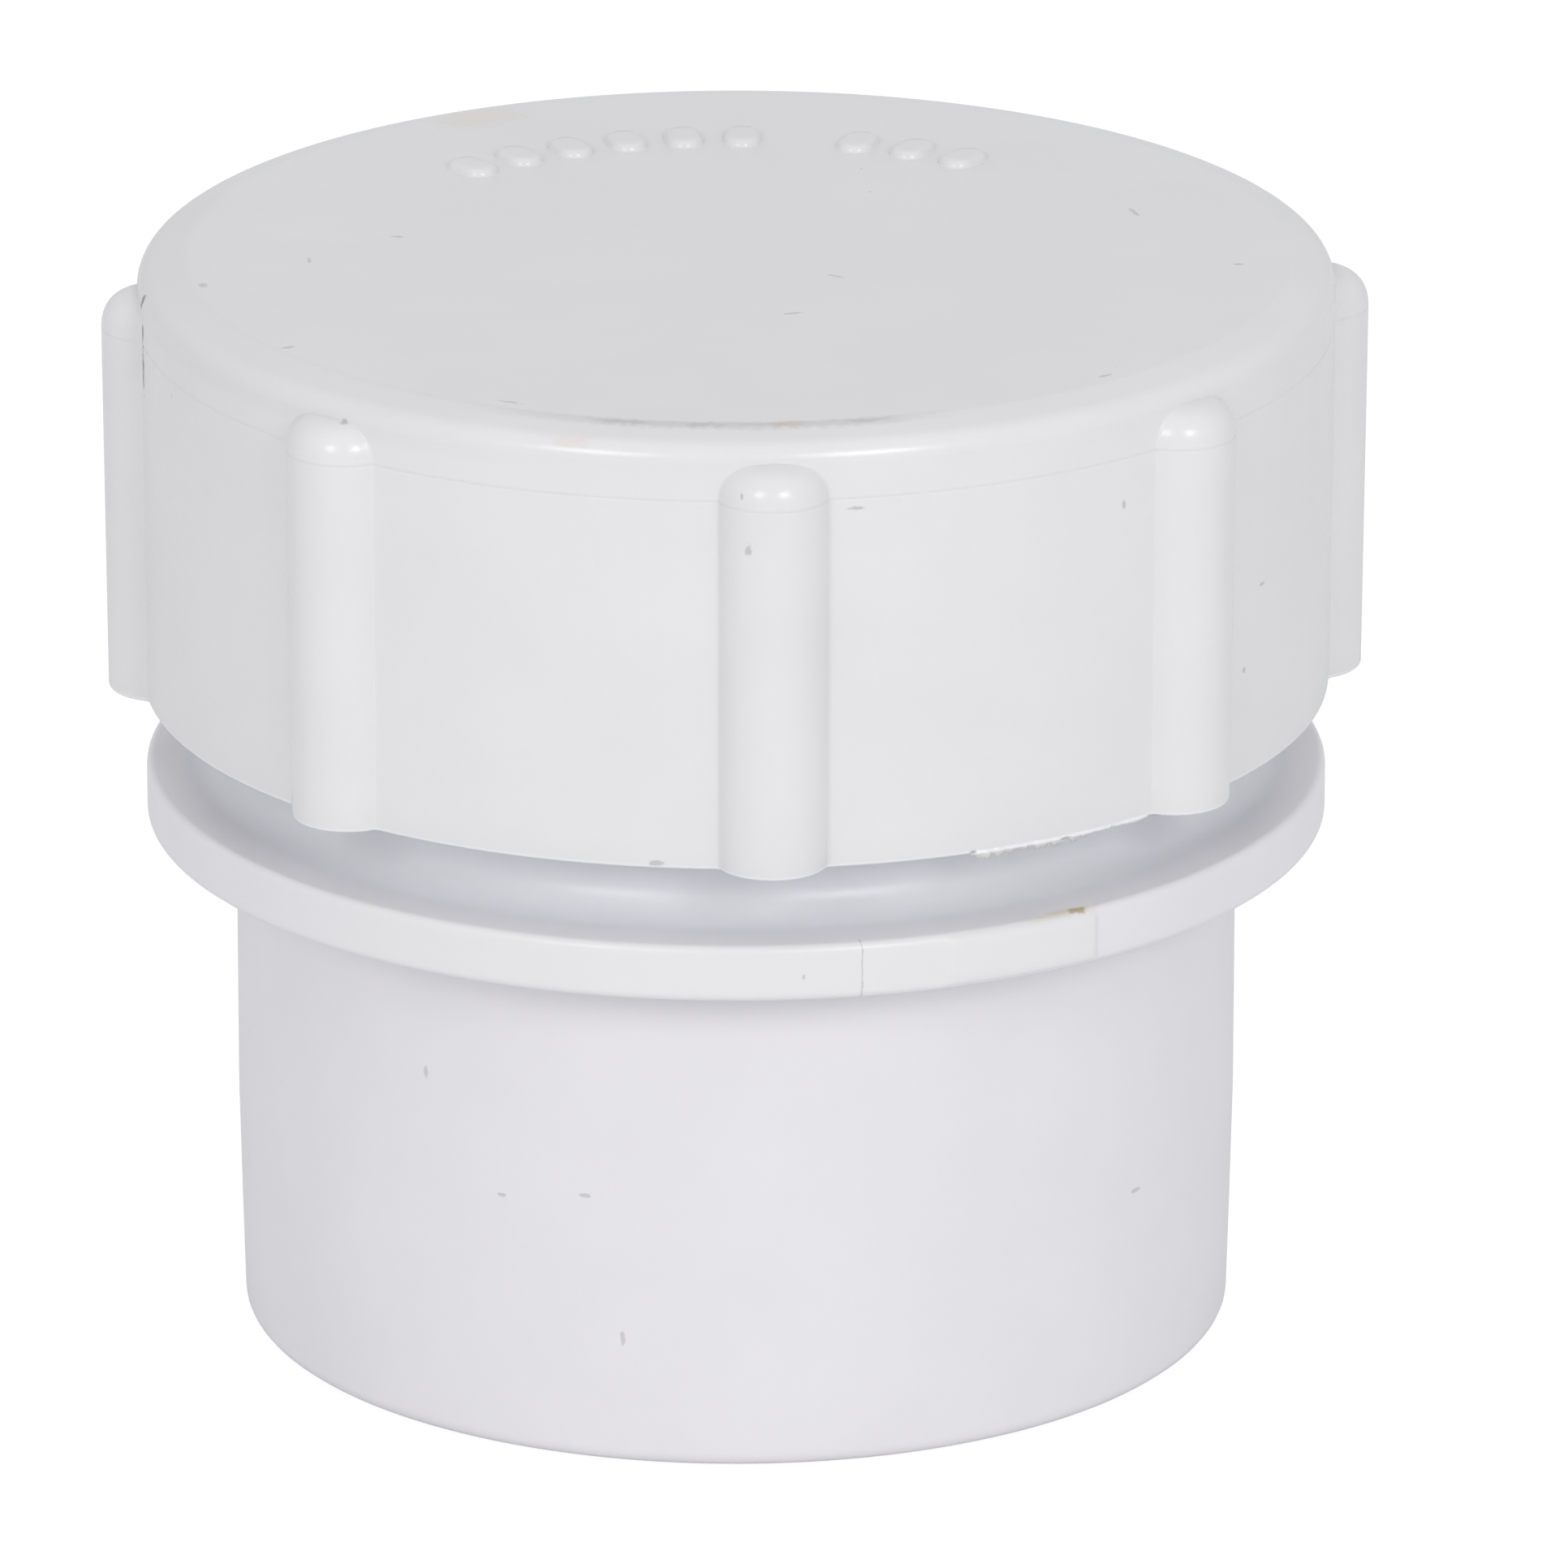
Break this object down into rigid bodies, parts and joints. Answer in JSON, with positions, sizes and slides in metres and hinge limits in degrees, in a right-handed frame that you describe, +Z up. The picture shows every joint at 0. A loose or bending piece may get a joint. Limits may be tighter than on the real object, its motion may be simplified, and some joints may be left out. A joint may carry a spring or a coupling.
{
  "type": "pipe cap",
  "caption": "Ribbed screw cap with a rubber washer on a flanged spigot body, for closing a waste pipe so that it can be opened again.",
  "frame": {"origin": "centre of the spigot's lower end face, on the axis", "axes": "+Z up the axis from the spigot to the cap; -Y is the front, where one grip rib stands"},
  "size_m": [0.0538, 0.0538, 0.0473],
  "materials": {
    "body_plastic": "satin white moulded plastic",
    "cap_plastic": "satin white moulded plastic",
    "washer_rubber": "matte black rubber"
  },
  "bodies": {
    "body": {"spigot_body": "body_plastic"},
    "washer": {"sealing_washer": "washer_rubber"},
    "cap": {"screw_cap": "cap_plastic"}
  },
  "joints": [
    {"name": "cap_lift", "type": "slide", "parent": "body", "child": "washer", "axis": [0, 0, 1], "range_m": [0, 0.01576]},
    {"name": "cap_turn", "type": "hinge", "parent": "washer", "child": "cap", "pos_m": [0, 0, 0.0372], "axis": [0, 0, 1], "range_deg": [0, 1620]}
  ],
  "couplings": [
    {"joint": "cap_lift", "follows": "cap_turn", "m_per_rad": 0.00055704}
  ]
}
